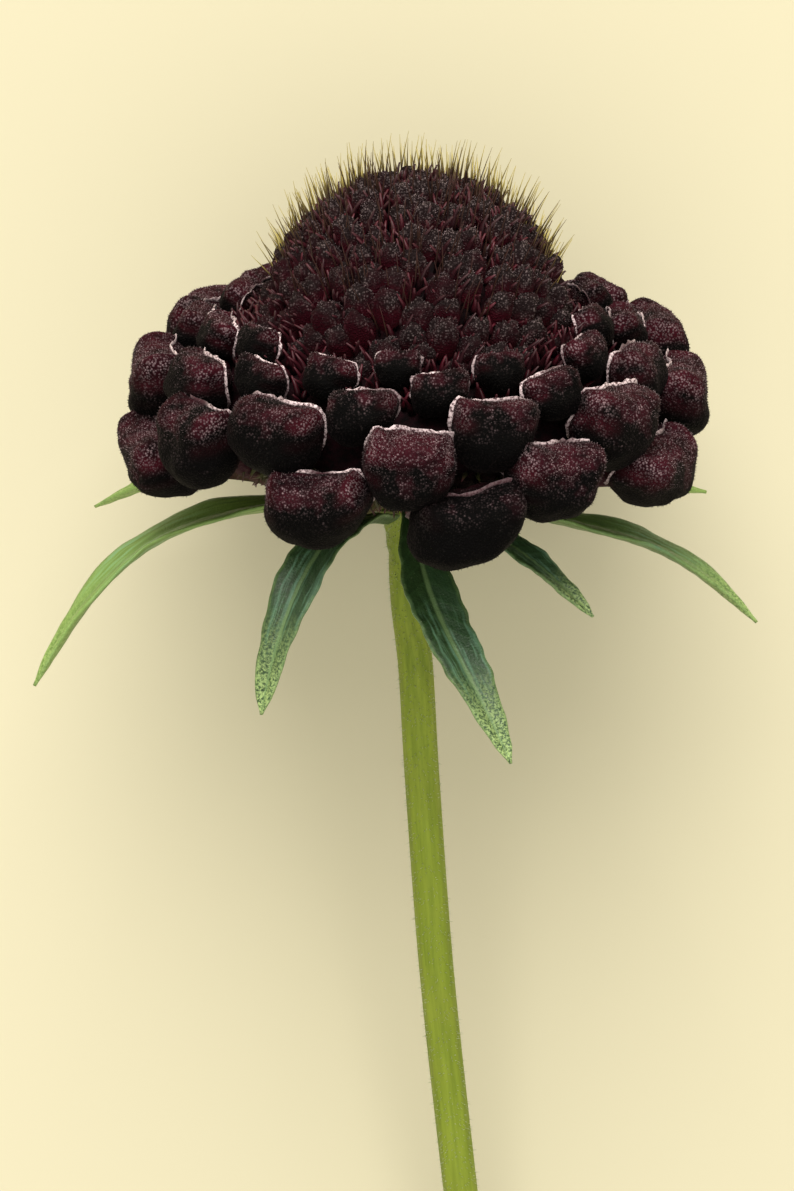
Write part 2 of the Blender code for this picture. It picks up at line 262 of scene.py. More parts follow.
# %% [markdown]
# ## Finishes
# Every finish is worked out by nodes, so it has no picture in it. A small helper builds the node trees:
# it makes a node, sets its values, and joins sockets. Marks kept on the points, such as how far along a
# bristle a point lies, steer the colours, and noise on object coordinates breaks them up.

# %% A helper for finishes
def add_node(tree, kind, inputs=None, **settings):
    """A new node with its settings, whose inputs are joined to a socket or set to a value."""
    made = tree.nodes.new(kind)
    for key, value in settings.items():
        setattr(made, key, value)
    for key, value in (inputs or {}).items():
        if isinstance(value, bpy.types.NodeSocket):
            tree.links.new(value, made.inputs[key])
        else:
            made.inputs[key].default_value = value
    return made


class Finish:
    """A Principled material and short ways to add nodes to it."""

    def __init__(self, name, roughness, colour=None, **values):
        self.material = bpy.data.materials.new(name)
        self.material.use_nodes = True
        self.tree = self.material.node_tree
        self.shader = self.tree.nodes["Principled BSDF"]
        self.shader.inputs["Roughness"].default_value = roughness
        if colour:
            self.shader.inputs["Base Color"].default_value = (*colour, 1)
            self.material.diffuse_color = (*colour, 1)
        for socket, value in values.items():
            self.shader.inputs[socket.replace("_", " ")].default_value = value
        self.place = self.tree.nodes.new("ShaderNodeTexCoord").outputs["Object"]

    def node(self, kind, inputs=None, **settings):
        return add_node(self.tree, kind, inputs, **settings)

    def mark(self, name):
        return self.node("ShaderNodeAttribute", attribute_name=name).outputs["Fac"]

    def noise(self, size, detail=3.0, rough=0.6, place=None):
        """Noise whose grains are about this wide, in metres."""
        return self.node("ShaderNodeTexNoise", {"Vector": place or self.place, "Scale": 1 / size,
                                                "Detail": detail, "Roughness": rough}).outputs["Fac"]

    def range(self, value, low, high, to_low=0.0, to_high=1.0):
        return self.node("ShaderNodeMapRange", {"Value": value, "From Min": low, "From Max": high,
                                                "To Min": to_low, "To Max": to_high}).outputs["Result"]

    def math(self, how, a, b=0.0):
        return self.node("ShaderNodeMath", {0: a, 1: b}, operation=how).outputs[0]

    def times(self, a, b):
        return self.math("MULTIPLY", a, b)

    def mix(self, share, a, b):
        a, b = [c if isinstance(c, bpy.types.NodeSocket) else (*c, 1) for c in (a, b)]
        return self.node("ShaderNodeMix", {0: share, 6: a, 7: b}, data_type="RGBA").outputs[2]

    def colour(self, value):
        self.tree.links.new(value, self.shader.inputs["Base Color"])

    def roughness(self, value):
        self.tree.links.new(value, self.shader.inputs["Roughness"])

    def bump(self, height, distance, strength=1.0):
        made = self.node("ShaderNodeBump", {"Height": height, "Distance": distance, "Strength": strength})
        self.tree.links.new(made.outputs["Normal"], self.shader.inputs["Normal"])


# %% [markdown]
# The skin of a bud is velvet, with painted light and shade in its colour: near black below as painted
# shade, wine red where its upper face would catch the light, and powdered all over with fine pale grains,
# the tips of tiny hairs, painted paler above and dusky below. Black and wine are mixed by a mark that says
# how high on its bud a point lies, which sets how much painted light it gets. The grains are the middles of
# very fine random cells.

# %% Velvet of the buds and knobs
GRAIN_SIZE = 0.125 * MM
# painted shade: the colour of the sunken fold behind a bud's lip
FOLD_SHADE_COLOUR = (0.006, 0.0015, 0.0022)
PLEAT_COLOUR = (0.050, 0.0035, 0.0085)


def velvet(name, black, wine, grain, dusk, reach):
    """Painted light and shade: wine above, black below, and grains pale above and dusky below."""
    skin = Finish(name, 0.78, black, Sheen_Weight=0.02, Sheen_Roughness=0.35, Specular_IOR_Level=0.05)
    skin.shader.inputs["Sheen Tint"].default_value = (0.75, 0.52, 0.56, 1)
    patchy = skin.noise(1.3 * MM, 2.0)
    # painted light and shade: a high point takes the lit wine colour, a low one the shaded black
    high = skin.math("ADD", skin.mark("lift"), skin.range(patchy, 0.35, 0.65, -0.22, 0.22))
    body = skin.mix(skin.range(high, *reach), black, wine)
    # painted shade in the fold behind the lip, where the smaller petals lie deeper
    body = skin.mix(skin.times(skin.mark("fold"), 0.8), body, FOLD_SHADE_COLOUR)
    pleats = skin.times(skin.mark("pleat"), skin.range(patchy, 0.30, 0.55, 0.55, 1.0))
    body = skin.mix(pleats, body, PLEAT_COLOUR)
    cells = skin.node("ShaderNodeTexVoronoi", {"Vector": skin.place, "Scale": 1 / GRAIN_SIZE})
    grains = skin.range(cells.outputs["Distance"], 0.58, 0.18)
    pick = skin.node("ShaderNodeSeparateColor", {0: cells.outputs["Color"]}).outputs[0]
    crest = skin.mark("crest")
    strength = skin.math("POWER", pick, 1.3)
    # painted light: the grains are brighter and paler where a point lies high, dusky where it lies low
    strength = skin.times(strength, skin.range(high, 0.30, 1.08, 0.10, 0.95))
    powder = skin.range(skin.noise(0.7 * MM, 2.0), 0.38, 0.64, 0.22, 1.0)
    strength = skin.times(skin.times(strength, powder), grains)
    # painted highlight: pale grains along the crests
    strength = skin.math("MAXIMUM", strength, skin.times(crest, grains))
    tint = skin.mix(skin.range(high, 0.40, 0.90), dusk, grain)
    skin.colour(skin.mix(strength, body, tint))
    skin.bump(grains, 0.045 * MM, 0.9)
    return skin.material


bud_velvet = velvet("bud_velvet", (0.0007, 0.0005, 0.0005), (0.030, 0.0038, 0.0076), (0.31, 0.21, 0.23),
                    (0.040, 0.034, 0.030), (0.66, 1.12))
knob_velvet = velvet("knob_velvet", (0.018, 0.0010, 0.0033), (0.0090, 0.0050, 0.0053), (0.25, 0.19, 0.19),
                     (0.060, 0.012, 0.019), (0.40, 0.90))
print("velvet is ready")

# %% [markdown]
# ## The buds of the rim
# Each bud is a folded pillow. Its big outer petal wraps the front and the sides, and ends in a lip that
# runs over the top, behind which the smaller petals lie a little deeper, pressed together along a seam. A
# pillow is a ball that is squared off: one formula pushes it toward a block, a second narrows its back
# toward the tube, and small waves keep buds from being alike. The step behind the lip is in the mesh.

# %% The pillow of a bud
OUTER_BUDS = 24
PILLOW_SQUARENESS = (2.6, 4.8)  # at the bud's lower end, and at its upper end
PILLOW_DEPTH = 0.86 * 0.53  # half the depth, as a share of the mean width
BACK_NARROWING = 0.45
LIP_SLANT = 0.48
LIP_SET_BACK = 0.46
LIP_WAVE = 0.06
EAR_RISE = 0.24
FOLD_DEPTH = 0.17 * MM
SEAM_DEPTH = 0.12 * MM
PLEAT_DEPTH = 0.05 * MM
RIDGE_DEPTH = 0.10 * MM
SHRINK = 0.965  # leaves room for the hairs inside the frame's box
BUD_SHADE = {0: 0.45, 13: -0.09}  # the lowest bud in front is the darkest one


def lip_height(side_share, number):
    """How far the lip's line waves along a bud, by the place across it."""
    return LIP_WAVE * (np.cos(side_share * 5.2 + number * 1.7) + 0.5 * np.cos(side_share * 9 + number))


def squared(directions):
    """Directions of a ball moved out onto a rounded block of half width 1."""
    low, high = PILLOW_SQUARENESS
    power = (low + (high - low) * smooth_step(-0.7, 0.5, directions[:, 1]))[:, None]
    return directions * (np.abs(directions) ** power).sum(axis=1)[:, None] ** (-1 / power)


def pillow(directions, number, bud):
    """Points of a bud's pillow, and marks: painted light by height, fold shade, pleats, crest highlights."""
    middle, side, up, out, width, tall, _ = bud
    draw = random.Random(number * 7 + 1)
    taper, skew, hollow = draw.uniform(0.10, 0.30), draw.uniform(-0.12, 0.12), draw.uniform(0.0, 0.08)
    ears = [EAR_RISE * draw.uniform(0.1, 1.0) for _ in range(2)]
    shade = BUD_SHADE.get(number, draw.uniform(0.0, 0.14))
    block = squared(directions)
    across, high, along = block.T
    line = along - (LIP_SLANT * high - LIP_SET_BACK + lip_height(across, number))
    # the fold behind the lip is sunk in the mesh and darkened as painted shade
    behind = smooth_step(0.0, -0.10, line) * smooth_step(-0.45, 0.1, high)
    seam = np.exp(-(across / 0.10) ** 2) + 0.7 * np.exp(-((np.abs(across) - 0.55) / 0.10) ** 2)
    flank = smooth_step(0.55, 0.95, np.abs(across))
    pleat = flank * (0.5 + 0.5 * np.cos(high * 8 + number + along * 2))
    back = smooth_step(-0.15, -0.75, along)
    ridge = back * (0.5 + 0.5 * np.cos(9 * np.arctan2(high, across) + number))
    sink = behind * (FOLD_DEPTH + SEAM_DEPTH * seam) + PLEAT_DEPTH * pleat + RIDGE_DEPTH * ridge
    narrow = 1 - BACK_NARROWING * smooth_step(0.15, 1.0, -along) ** 1.3
    narrow = narrow * (1 - 0.10 * smooth_step(0.3, 1.0, along))
    half = np.array((width / 2, tall / 2, PILLOW_DEPTH * (width + tall) / 2)) * SHRINK
    uneven = 1 + 0.055 * lumps(block, 1.6, number) + 0.020 * lumps(block, 0.6, number + 100)
    ear = np.where(across > 0, ears[0], ears[1]) * np.exp(-((np.abs(across) - 0.84) / 0.18) ** 2)
    raised = (ear - hollow * np.exp(-(across / 0.5) ** 2)) * smooth_step(0.45, 0.95, high)
    raised = raised * smooth_step(-0.5, 0.1, along)
    local = np.stack((across * narrow * (1 - taper * smooth_step(0.2, -1.0, high)) + skew * high,
                      high * narrow * (1 + raised), along), axis=1)
    local = local * half * uneven[:, None]
    local -= directions * sink[:, None]
    points = middle + local @ (side, up, out)
    # painted light: the upper face and the front are lighter, and a shaded bud gets less of it
    lift = 0.5 + 0.42 * high + 0.14 * along - shade
    pleat = np.maximum(pleat * 0.5 * smooth_step(0.35, 0.80, lift), back * 0.30 + ridge * 0.55)
    # painted highlight along the upper corners of the bud
    crest = np.exp(-((np.abs(across) - 0.92) / 0.07) ** 2) * smooth_step(0.1, 0.8, high)
    crest = crest * smooth_step(-0.3, 0.3, along) * (1 - shade)
    return points, {"lift": lift, "fold": behind, "pleat": pleat, "crest": crest * 0.8}


def rim_buds(name, numbers, ball):
    """The pillows of several buds as one piece."""
    pile = Pile()
    for number in numbers:
        points, marks = pillow(ball[0], number, BUDS[number])
        pile.add(points, ball[1], **marks)
    return pile.piece(name, bud_velvet)


outer_buds = rim_buds("rim_buds_outer", range(OUTER_BUDS), FINE_BALL)
inner_buds = rim_buds("rim_buds_inner", range(OUTER_BUDS, BUD_COUNT), MIDDLE_BALL)

# %% [markdown]
# The lip of the outer petal is thin, pale and downy, and it draws the bright outline along the top of
# every bud. It is a fine cord laid on the line where the pillow steps down, so it catches light from the
# side, and its pale colour also carries a painted rim highlight, weaker on the darkest bud and toward the
# lip's ends. The line is found by moving a ring of directions until they meet the slanted cut.

# %% The pale lips
LIP_STEPS = 44
LIP_SIDES = 6
LIP_REACH = math.radians(128)
LIP_RADIUS = 0.10 * MM


def lip_line(number, bud):
    """Points along a bud's lip and the directions that lead straight out of the bud there."""
    angle = np.linspace(-LIP_REACH, LIP_REACH, LIP_STEPS)
    directions = np.stack((np.sin(angle), np.cos(angle), np.zeros(LIP_STEPS)), axis=1)
    for _ in range(25):
        unit = directions / np.linalg.norm(directions, axis=1)[:, None]
        across, high, along = squared(unit).T
        directions[:, 2] += 0.6 * (LIP_SLANT * high - LIP_SET_BACK + lip_height(across, number) - along)
    unit = directions / np.linalg.norm(directions, axis=1)[:, None]
    points = pillow(unit, number, bud)[0]
    return points, unit @ bud[1:4]


def bud_lips(skin):
    """The lips of all the buds as one piece."""
    pile = Pile()
    for number, bud in enumerate(BUDS):
        line, normal = lip_line(number, bud)
        run = np.gradient(line, axis=0)
        run /= np.linalg.norm(run, axis=1)[:, None]
        over = np.cross(run, normal)
        share = np.linspace(-1, 1, LIP_STEPS)
        size = (bud[4] / (5 * MM)) ** 0.5
        radius = LIP_RADIUS * size * (1 - np.abs(share) ** 5) ** 0.5
        radius = radius * (1 + 0.45 * lumps(line, 0.45 * MM, number + 300)) + 0.004 * MM
        rings = []
        for k in range(LIP_SIDES):
            a = 2 * math.pi * k / LIP_SIDES
            offset = over * math.cos(a) * 0.45 + normal * (math.sin(a) * 1.7 + 0.1)
            rings.append(line + offset * radius[:, None])
        points = np.stack(rings, axis=1).reshape(-1, 3)
        # painted rim highlight: the lip's pale share, dimmed on the darkest bud and toward its ends
        glow = np.clip(0.75 + 0.55 * lumps(line, 2.4 * MM, number + 500), 0, 1) * (1 - np.abs(share) ** 3)
        glow = glow * (1 - 2 * BUD_SHADE.get(number, 0))
        pile.add(points, tube_faces(LIP_STEPS, LIP_SIDES), glow=np.repeat(glow, LIP_SIDES), lift=1.0)
    return pile.piece("bud_lips", skin)


lip_skin = Finish("petal_lip", 0.6, Sheen_Weight=0.1, Specular_IOR_Level=0.2)
lip_grain = lip_skin.range(lip_skin.noise(0.13 * MM), 0.38, 0.56)
# the lip's pale colour is partly its own and partly a painted rim highlight
lip_share = lip_skin.times(lip_skin.mark("glow"), lip_grain)
lip_skin.colour(lip_skin.mix(lip_share, (0.040, 0.010, 0.015), (0.80, 0.64, 0.66)))
lips = bud_lips(lip_skin.material)

# %% [markdown]
# ## The knobs of the dome
# The closed buds of the dome are round knobs on short columns, each with a shallow cross where its four
# petals meet. They are the same ball, stretched along the bud's direction, and their tips are grey with
# down. Their upper sides and the knobs high on the dome are painted lighter as light, and painted
# highlights run in four pale lines over each tip.

# %% Knobs
KNOB_HALF = 0.8
KNOB_LONG = 0.88
KNOB_BACK = 1.6
KNOB_THICK = 0.49
CREASE = 0.11


def dome_knobs():
    """All the closed buds as one piece."""
    pile = Pile()
    directions, faces = SMALL_BALL
    across, high, along = directions.T
    turn = np.arctan2(high, across)
    for number, (tip, side, up, out, width) in enumerate(KNOBS):
        middle = tip - out * width * KNOB_HALF
        front = smooth_step(0.1, 0.95, along)
        cross = CREASE * front * np.cos(4 * turn + number) * np.hypot(across, high) * 2
        size = 1 + cross + 0.04 * lumps(directions, 1.6, number + 700)
        local = directions * size[:, None] * width
        local[:, :2] *= KNOB_THICK
        local[:, 2] *= np.where(along > 0, KNOB_LONG, KNOB_BACK)
        local[:, :2] *= (1 - 0.25 * smooth_step(0.2, 1.0, -along))[:, None]
        points = middle + local @ (side, up, out)
        # own tone and painted light: grey tips and random shades, with upper sides and top knobs painted
        # lighter
        lift = 0.02 + 0.55 * smooth_step(-0.2, 0.9, along) + 0.2 * high + 0.46 * (number * 0.382 % 1)
        lift = lift + 0.34 * smooth_step(0.50, 0.95, number / KNOB_COUNT)
        pleat = smooth_step(0.70, -0.1, along) * (0.55 + 0.40 * (number * 0.755 % 1))
        # painted highlight: pale lines over the knob's tip
        crest = smooth_step(0.70, 1.0, np.cos(4 * turn + number)) * smooth_step(-0.6, 0.2, along)
        crest = crest * smooth_step(0.98, 0.6, along) * (0.40 + 1.1 * (number * 0.618 % 1))
        pile.add(points, faces, lift=lift, fold=0.0, pleat=pleat, crest=crest)
    return pile.piece("dome_knobs", knob_velvet)


knobs = dome_knobs()

# %% [markdown]
# ## The core and the tubes
# Behind the buds lies the receptacle's pad, and each bud stands on a slender tube. From below the tubes
# of the two lowest rows spread like spokes. The pad is a turned outline, so a loop of rings is enough,
# and the tubes are rings along a line from the pad to the back of each bud.

# %% The pad under the buds
PAD_OUTLINE = ((0.2, -2.15), (2.5, -2.12), (3.4, -1.6), (5.2, -0.75), (8.2, 0.1), (10.0, 0.9), (10.8, 2.0),
               (10.7, 3.3), (9.7, 4.8), (8.3, 5.8), (6.8, 6.8), (6.3, 8.6), (5.4, 10.3), (3.9, 11.8),
               (2.1, 12.6), (0.2, 12.85))
PAD_SIDES = 72
PAD_STEPS = 60


def smooth_route(points, steps):
    """Evenly counted points on a smooth curve through the given ones."""
    points = np.asarray(points, dtype=float)
    ends = np.concatenate(([points[0] * 2 - points[1]], points, [points[-1] * 2 - points[-2]]))
    place = np.arange(steps + 1) / steps * (len(points) - 1)
    k = np.minimum(place.astype(int), len(points) - 2)
    t = (place - k)[:, None]
    a, b, c, d = [ends[k + shift] for shift in range(4)]
    return (b * 2 + (c - a) * t + (a * 2 - b * 5 + c * 4 - d) * t * t + (b * 3 - a - c * 3 + d) * t ** 3) / 2


def turned(outline, sides, ripple, seed):
    """Points round the axis through an outline of distances and heights, in metres, a little uneven."""
    azimuth = np.linspace(0, 2 * math.pi, sides, endpoint=False)
    ring = np.stack((np.sin(azimuth), -np.cos(azimuth)), axis=1)
    rows = [np.concatenate((ring * r, np.full((sides, 1), z)), axis=1) for r, z in outline]
    points = np.concatenate(rows)
    scale = 1 + ripple * lumps(points, 0.9 * MM, seed) / np.maximum(np.hypot(*points[:, :2].T), 1 * MM)
    points[:, :2] *= scale[:, None]
    return points


pad_skin = Finish("pad", 0.75, Specular_IOR_Level=0.08)
pad_low = pad_skin.mix(pad_skin.range(pad_skin.noise(0.7 * MM), 0.35, 0.65), (0.030, 0.030, 0.010),
                       (0.040, 0.012, 0.012))
pad_high = pad_skin.mix(pad_skin.range(pad_skin.noise(0.4 * MM), 0.35, 0.7), (0.0025, 0.0009, 0.0013),
                        (0.014, 0.0018, 0.004))
pad_skin.colour(pad_skin.mix(pad_skin.mark("above"), pad_low, pad_high))
pad_skin.bump(pad_skin.noise(0.25 * MM), 0.1 * MM)

pad_rows = smooth_route(np.array(PAD_OUTLINE) * MM, PAD_STEPS)
pad_points = turned(pad_rows, PAD_SIDES, 0.10 * MM, 40)
pad_faces = tube_faces(len(pad_rows), PAD_SIDES)
pad_above = smooth_step(-0.9 * MM, 1.0 * MM, pad_points[:, 2])
pad = make_piece("head_pad", laid(pad_points), pad_faces, pad_skin.material, {"above": pad_above})

# %% The tubes of the buds
TUBE_FOOT = (3.9 * MM, -1.45 * MM)
TUBE_BEND = (9.6 * MM, -0.55 * MM)
TUBE_RADIUS = 0.60 * MM
TUBE_SIDES = 15
TUBE_STEPS = 12
SPOKES = 26


def bud_tubes(skin):
    """A tube for every bud, from the pad to the bud's back, with five faint ribs."""
    pile = Pile()
    angle = np.linspace(0, 2 * math.pi, TUBE_SIDES, endpoint=False)
    for number, (middle, side, up, out, width, tall, azimuth) in enumerate(BUDS):
        depth = 0.86 * (width + tall) / 2
        spoke = number < SPOKES
        start = spot(TUBE_FOOT[0], azimuth, TUBE_FOOT[1]) if spoke else middle - out * depth * 1.1
        bend = spot(TUBE_BEND[0], azimuth, TUBE_BEND[1]) if spoke else middle - out * depth * 0.6
        end = middle - out * depth * 0.22
        rows = []
        for step in range(TUBE_STEPS + 1):
            t = step / TUBE_STEPS
            centre = start * (1 - t) ** 2 + bend * 2 * t * (1 - t) + end * t * t
            flare = TUBE_RADIUS * (0.85 + 0.15 * t + 2.6 * max(0.0, t - 0.55) ** 1.5)
            radius = flare * (1 + 0.09 * np.cos(5 * angle)) * (width / (5.5 * MM)) ** 0.8
            ring = np.cos(angle)[:, None] * side + np.sin(angle)[:, None] * up
            rows.append(centre + ring * radius[:, None])
        pile.add(np.concatenate(rows), tube_faces(TUBE_STEPS + 1, TUBE_SIDES),
                 along=np.repeat(np.linspace(0, 1, TUBE_STEPS + 1), TUBE_SIDES))
    return pile.piece("bud_tubes", skin)


tube_skin = Finish("bud_tube", 0.6, Specular_IOR_Level=0.12)
tube_colour = tube_skin.mix(tube_skin.range(tube_skin.mark("along"), 0.1, 0.75), (0.075, 0.072, 0.020),
                            (0.026, 0.0036, 0.008))
tube_spots = tube_skin.range(tube_skin.noise(0.25 * MM), 0.50, 0.75, 0.0, 0.5)
tube_skin.colour(tube_skin.mix(tube_spots, tube_colour, (0.085, 0.048, 0.038)))
tube_skin.bump(tube_skin.noise(0.15 * MM), 0.05 * MM)
tubes = bud_tubes(tube_skin.material)

# %% [markdown]
# ## Bristles, scales and down
# Everything fine here is the same thing at another size: a thin spike, planted on a surface, leaning
# partly along that surface's own direction and partly toward the head's axis. One Geometry Nodes tree
# plants them all. It scatters points where a mark called cover allows, shapes one spike with a bend, sets
# its random length, and keeps how far along the spike each point lies, for the colour. It ends by making
# real mesh of every copy.

# %% The tree that plants spikes
def plant_tree():
    """A Geometry Nodes tree: spikes scattered over a surface."""
    tree = bpy.data.node_groups.new("plant_spikes", "GeometryNodeTree")
    face = tree.interface
    face.new_socket("Geometry", in_out="INPUT", socket_type="NodeSocketGeometry")
    for label, kind, value in (("Density", "Float", 1.0), ("Length", "Float", 1.0), ("Width", "Float", 1.0),
                               ("Evenness", "Float", 0.8), ("Lean", "Float", 0.5), ("Axis", "Vector", None),
                               ("Ruffle", "Float", 0.2), ("Bend", "Float", 0.1), ("Sides", "Int", 3),
                               ("Steps", "Int", 2), ("Tip", "Float", 0.06), ("Seed", "Int", 0),
                               ("Skin", "Material", None)):
        socket = face.new_socket(label, in_out="INPUT", socket_type="NodeSocket" + kind)
        if value is not None:
            socket.default_value = value
    face.new_socket("Geometry", in_out="OUTPUT", socket_type="NodeSocketGeometry")
    given = tree.nodes.new("NodeGroupInput").outputs

    def node(kind, inputs=None, out=0, **settings):
        return add_node(tree, kind, inputs, **settings).outputs[out]

    def number(how, a, b):
        return node("ShaderNodeMath", {0: a, 1: b}, operation=how)

    def scaled(vector, scale):
        return node("ShaderNodeVectorMath", {0: vector, "Scale": scale}, operation="SCALE")

    def added(a, b):
        return node("ShaderNodeVectorMath", {0: a, 1: b}, operation="ADD")

    def chance(low, high):
        return node("FunctionNodeRandomValue", {2: low, 3: high, "Seed": given["Seed"]}, 1,
                    data_type="FLOAT")

    def keep(geometry, name, value):
        return node("GeometryNodeStoreNamedAttribute", {"Geometry": geometry, "Name": name, "Value": value},
                    data_type="FLOAT", domain="POINT")

    cover = node("GeometryNodeInputNamedAttribute", {"Name": "cover"}, data_type="FLOAT")
    points = add_node(tree, "GeometryNodeDistributePointsOnFaces", {
        "Mesh": given["Geometry"], "Density": number("MULTIPLY", cover, given["Density"]),
        "Seed": given["Seed"]}).outputs
    spike = node("GeometryNodeMeshCone", {"Vertices": given["Sides"], "Side Segments": given["Steps"],
                                          "Radius Top": given["Tip"], "Radius Bottom": 0.5, "Depth": 1.0},
                 fill_type="NGON")
    height = node("ShaderNodeSeparateXYZ", {0: node("GeometryNodeInputPosition")}, 2)
    spike = keep(spike, "along", height)
    arc = number("MULTIPLY", number("MULTIPLY", height, height), given["Bend"])
    shift = node("ShaderNodeCombineXYZ", {0: arc})
    spike = node("GeometryNodeSetPosition", {"Geometry": spike, "Offset": shift})
    rough = node("FunctionNodeRandomValue", {0: (-1, -1, -1), 1: (1, 1, 1), "Seed": given["Seed"]},
                 data_type="FLOAT_VECTOR")
    straight = scaled(points["Normal"], number("SUBTRACT", 1.0, given["Lean"]))
    aim = added(straight, scaled(given["Axis"], given["Lean"]))
    aim = added(aim, scaled(rough, given["Ruffle"]))
    spin = node("ShaderNodeCombineXYZ", {2: chance(0.0, 6.283)})
    turn = node("FunctionNodeAlignRotationToVector", {"Rotation": spin, "Vector": aim}, axis="Z")
    long = number("MULTIPLY", chance(given["Evenness"], 1.0), given["Length"])
    size = node("ShaderNodeCombineXYZ", {0: given["Width"], 1: given["Width"], 2: long})
    feet = keep(points["Points"], "tone", chance(0.0, 1.0))
    copies = node("GeometryNodeInstanceOnPoints", {"Points": feet, "Instance": spike, "Rotation": turn,
                                                   "Scale": size})
    real = node("GeometryNodeRealizeInstances", {"Geometry": copies})
    done = node("GeometryNodeSetMaterial", {"Geometry": real, "Material": given["Skin"]})
    tree.links.new(done, tree.nodes.new("NodeGroupOutput").inputs[0])
    return tree


PLANT = plant_tree()


def plant(name, piece, cover, skin, **values):
    """Plants spikes on a copy of a piece, as its cover allows, and returns them alone as a plain piece."""
    holder = shown(name + "_ground", piece.data.copy())
    set_mark(holder.data, "cover", cover)
    change = holder.modifiers.new("plant", "NODES")
    change.node_group = PLANT
    values = {"Axis": tuple(HEAD_AXIS), "Skin": skin, **values}
    for item in PLANT.interface.items_tree:
        if item.in_out == "INPUT" and item.name in values:
            change[item.identifier] = values[item.name]
    bpy.context.view_layer.update()
    shape = holder.evaluated_get(bpy.context.evaluated_depsgraph_get())
    mesh = bpy.data.meshes.new_from_object(shape)
    mesh.name = name
    bpy.data.objects.remove(holder)
    mesh.shade_smooth()
    print(name, "has", sum(p.loop_total - 2 for p in mesh.polygons), "triangles")
    return shown(name, mesh)


# %% [markdown]
# The dome bristles with thin stiff spikes, and thicker crimson strands rise between the knobs. Both are
# planted on the pad, only as high as the dome. Along the dome's outline as the camera sees it, the
# bristles stand thick and have straw yellow tips that also carry painted backlight. Elsewhere they are
# fewer, and their tips are painted darker as shade. How far the dome turns away steers both marks. The
# seeds are fixed.

# %% Bristles and strands of the dome
def spike_skin(name, low, middle, tip, change, roughness, shaded_tip=None, tip_reach=(0.64, 0.94)):
    """A colour along a spike that changes a little from spike to spike; tips may take painted backlight."""
    skin = Finish(name, roughness, low, Specular_IOR_Level=0.3)
    along, tone = skin.mark("along"), skin.mark("tone")
    first = skin.mix(skin.range(along, 0.15, 0.60), low, middle)
    # painted backlight and shade: a mark moves the tips between straw and the shaded tip colour
    if shaded_tip:
        tip = skin.mix(skin.mark("straw_and_backlight"), shaded_tip, tip)
    full = skin.mix(skin.range(along, *tip_reach), first, tip)
    skin.colour(skin.mix(skin.times(tone, change), full, (0.02, 0.006, 0.008)))
    return skin.material


bristle_skin = spike_skin("bristle", (0.016, 0.002, 0.004), (0.040, 0.018, 0.008), (0.60, 0.49, 0.13),
                          0.42, 0.5, (0.045, 0.014, 0.010), (0.46, 0.82))
strand_skin = spike_skin("strand", (0.004, 0.0004, 0.0010), (0.050, 0.0020, 0.0075), (0.080, 0.006, 0.014),
                         0.85, 0.40)

PICTURE_RISE = math.radians(20)
pad_height = pad_points[:, 2]
dome_out = pad_points - (0, 0, DOME_HEIGHT)
near = dome_out @ (0, -math.cos(PICTURE_RISE), math.sin(PICTURE_RISE)) / np.linalg.norm(dome_out, axis=1)
sunny = smooth_step(0.45, 0.05, near)
dome_cover = smooth_step(7.2 * MM, 8.8 * MM, pad_height)
strand_cover = smooth_step(4.4 * MM, 5.0 * MM, pad_height)
far_side = smooth_step(-0.1, -0.6, near)
bristle_cover = 0.34 + sunny * (0.66 - 0.46 * far_side)
# painted backlight on the bristle tips along the outline, painted shade on the tips elsewhere
set_mark(pad.data, "straw_and_backlight", smooth_step(0.42, -0.05, near) * (1 - 0.6 * far_side))
bristles = plant("dome_bristles", pad, dome_cover * bristle_cover, bristle_skin,
                 Density=5.0e6, Length=3.3 * MM, Width=0.16 * MM, Evenness=0.55, Lean=0.64, Ruffle=0.14,
                 Bend=1.5, Sides=3, Steps=4, Seed=3)
strands = plant("dome_strands", pad, strand_cover, strand_skin, Density=3.0e6,
                Length=1.62 * MM, Width=0.40 * MM, Evenness=0.50, Lean=0.66, Ruffle=0.24, Bend=1.1,
                Sides=6, Steps=3, Tip=0.12, Seed=8)

# %% [markdown]
# From below, green calyx tips fill the room between the tubes. They are the same spike again, short and
# broad, planted on the pad's lower side and pushed every way by the ruffle, with wine red ends.

# %% Calyx tips under the head
calyx_skin = spike_skin("calyx", (0.030, 0.034, 0.009), (0.075, 0.080, 0.022), (0.085, 0.016, 0.020), 0.60,
                        0.55)
pad_reach = np.hypot(*pad_points[:, :2].T)
under_cover = smooth_step(2.4 * MM, 1.6 * MM, pad_height) * smooth_step(3.3 * MM, 3.9 * MM, pad_reach)
calyx_tips = plant("calyx_tips", pad, under_cover, calyx_skin, Density=2.6e6,
                   Length=1.15 * MM, Width=0.34 * MM, Evenness=0.55, Lean=0.0, Ruffle=0.55, Bend=0.9,
                   Sides=4, Steps=3, Tip=0.08, Seed=12)

# %% [markdown]
# Down makes velvet look like velvet: tiny pale hairs over the buds, thicker along the lips. They are
# shorter than a fifth of a millimetre, so a spike of three sides is plenty. None grow where the head
# meets the surface.

# %% Down on the buds, lips and knobs
down_skin = Finish("down", 0.7, (0.30, 0.22, 0.23), Specular_IOR_Level=0.1)
# painted light: the down is pale high on the buds and dark low down
down_painted_light = down_skin.math("POWER", down_skin.mark("tone"), 1.8)
down_painted_light = down_skin.times(down_painted_light, down_skin.range(down_skin.mark("lift"), 0.55, 1.05, 0.02, 1.0))
down_skin.colour(down_skin.mix(down_painted_light, (0.004, 0.002, 0.002), (0.52, 0.38, 0.40)))
FLOOR_CLEAR = 0.5 * MM


